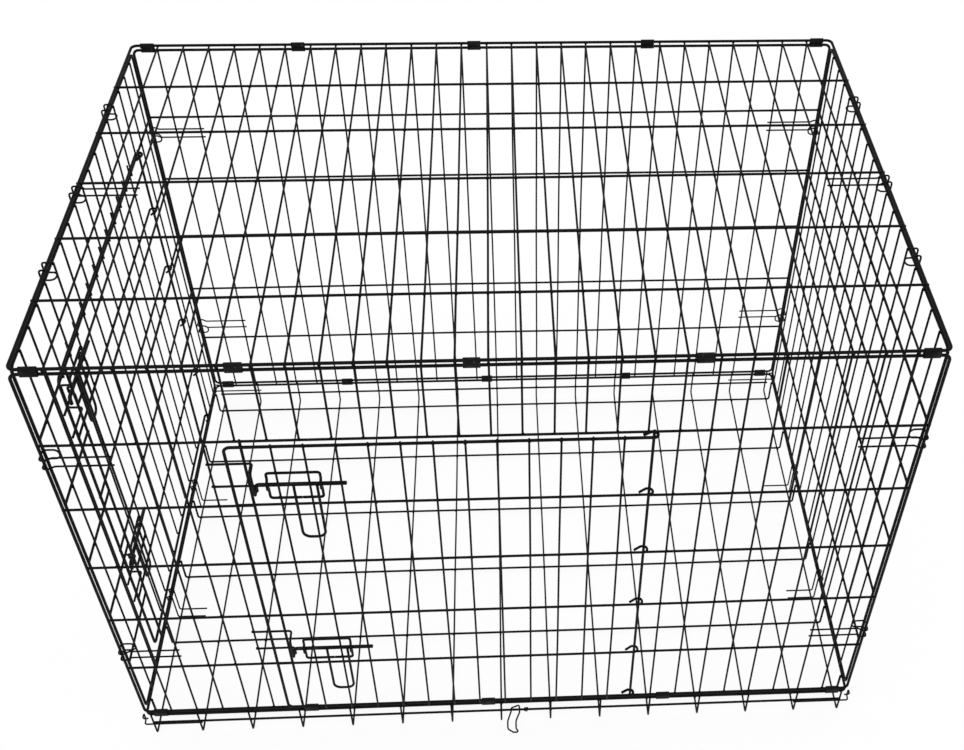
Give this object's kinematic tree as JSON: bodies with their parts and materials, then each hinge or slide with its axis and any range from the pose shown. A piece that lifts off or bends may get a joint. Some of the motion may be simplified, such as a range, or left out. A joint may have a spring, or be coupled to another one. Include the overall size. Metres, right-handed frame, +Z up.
{
  "type": "dog crate",
  "caption": "Folding wire dog crate with a front door, an end door, slide-bolt latches, a wire floor and end panels that fold in.",
  "frame": {"origin": "middle of the underside of the floor's middle cross wire, on the ground", "axes": "+X along the crate to the end without a door, +Y to the back, +Z up"},
  "size_m": [1.0948, 0.7449, 0.7673],
  "materials": {
    "wire_coat": "satin",
    "hook_coat": "satin",
    "clip_coat": "satin",
    "bolt_coat": "satin"
  },
  "bodies": {
    "crate": {"top_panel": "wire_coat", "front_panel": "wire_coat", "back_panel": "wire_coat", "floor_basket": "wire_coat", "top_front_clip_1": "clip_coat", "top_front_clip_2": "clip_coat", "top_front_clip_3": "clip_coat", "top_front_clip_4": "clip_coat", "top_front_clip_5": "clip_coat", "top_back_clip_1": "clip_coat", "top_back_clip_2": "clip_coat", "top_back_clip_3": "clip_coat", "top_back_clip_4": "clip_coat", "top_back_clip_5": "clip_coat", "floor_front_clip_1": "clip_coat", "floor_front_clip_2": "clip_coat", "floor_front_clip_3": "clip_coat", "floor_front_clip_4": "clip_coat", "floor_front_clip_5": "clip_coat", "floor_back_clip_1": "clip_coat", "floor_back_clip_2": "clip_coat", "floor_back_clip_3": "clip_coat", "floor_back_clip_4": "clip_coat", "floor_back_clip_5": "clip_coat", "front_left_upper_hook": "hook_coat", "front_left_lower_hook": "hook_coat", "front_right_upper_hook": "hook_coat", "front_right_lower_hook": "hook_coat", "back_left_upper_hook": "hook_coat", "back_left_lower_hook": "hook_coat", "back_right_upper_hook": "hook_coat", "back_right_lower_hook": "hook_coat", "top_left_front_hook": "hook_coat", "top_left_middle_hook": "hook_coat", "top_left_back_hook": "hook_coat", "top_right_front_hook": "hook_coat", "top_right_middle_hook": "hook_coat", "top_right_back_hook": "hook_coat", "floor_left_front_ring": "hook_coat", "floor_left_back_ring": "hook_coat", "floor_right_front_ring": "hook_coat", "floor_right_back_ring": "hook_coat", "floor_front_left_eye": "hook_coat", "floor_front_right_eye": "hook_coat", "floor_back_left_eye": "hook_coat", "floor_back_right_eye": "hook_coat"},
    "left_end": {"left_end_panel": "wire_coat"},
    "right_end": {"right_end_panel": "wire_coat"},
    "front_door": {"front_door": "wire_coat"},
    "end_door": {"left_end_door": "wire_coat"},
    "front_upper_bolt": {"front_upper_bolt": "bolt_coat"},
    "front_lower_bolt": {"front_lower_bolt": "bolt_coat"},
    "end_upper_bolt": {"end_upper_bolt": "bolt_coat"},
    "end_lower_bolt": {"end_lower_bolt": "bolt_coat"},
    "pan_stop": {"pan_stop": "hook_coat"}
  },
  "joints": [
    {"name": "front_door_hinge", "type": "hinge", "parent": "crate", "child": "front_door", "pos_m": [0.19685, -0.3556, 0.0631], "axis": [0, 0, 1], "range_deg": [0, 155]},
    {"name": "left_end_fold", "type": "hinge", "parent": "crate", "child": "left_end", "pos_m": [-0.5334, 0, 0.0556], "axis": [0, 1, 0], "range_deg": [0, 87]},
    {"name": "right_end_fold", "type": "hinge", "parent": "crate", "child": "right_end", "pos_m": [0.5334, 0, 0.0556], "axis": [0, -1, 0], "range_deg": [0, 90]},
    {"name": "end_door_hinge", "type": "hinge", "parent": "left_end", "child": "end_door", "pos_m": [-0.5334, 0.2591, 0.0631], "axis": [0, 0, -1], "range_deg": [0, 95]},
    {"name": "front_upper_bolt_slide", "type": "slide", "parent": "front_door", "child": "front_upper_bolt", "axis": [-1, 0, 0], "range_m": [0, 0.022]},
    {"name": "front_lower_bolt_slide", "type": "slide", "parent": "front_door", "child": "front_lower_bolt", "axis": [-1, 0, 0], "range_m": [0, 0.022]},
    {"name": "end_upper_bolt_slide", "type": "slide", "parent": "end_door", "child": "end_upper_bolt", "axis": [0, -1, 0], "range_m": [0, 0.022]},
    {"name": "end_lower_bolt_slide", "type": "slide", "parent": "end_door", "child": "end_lower_bolt", "axis": [0, -1, 0], "range_m": [0, 0.022]},
    {"name": "pan_stop_swing", "type": "hinge", "parent": "crate", "child": "pan_stop", "pos_m": [0.02155, -0.3556, 0.0254], "axis": [-1, 0, 0], "range_deg": [0, 90]}
  ]
}
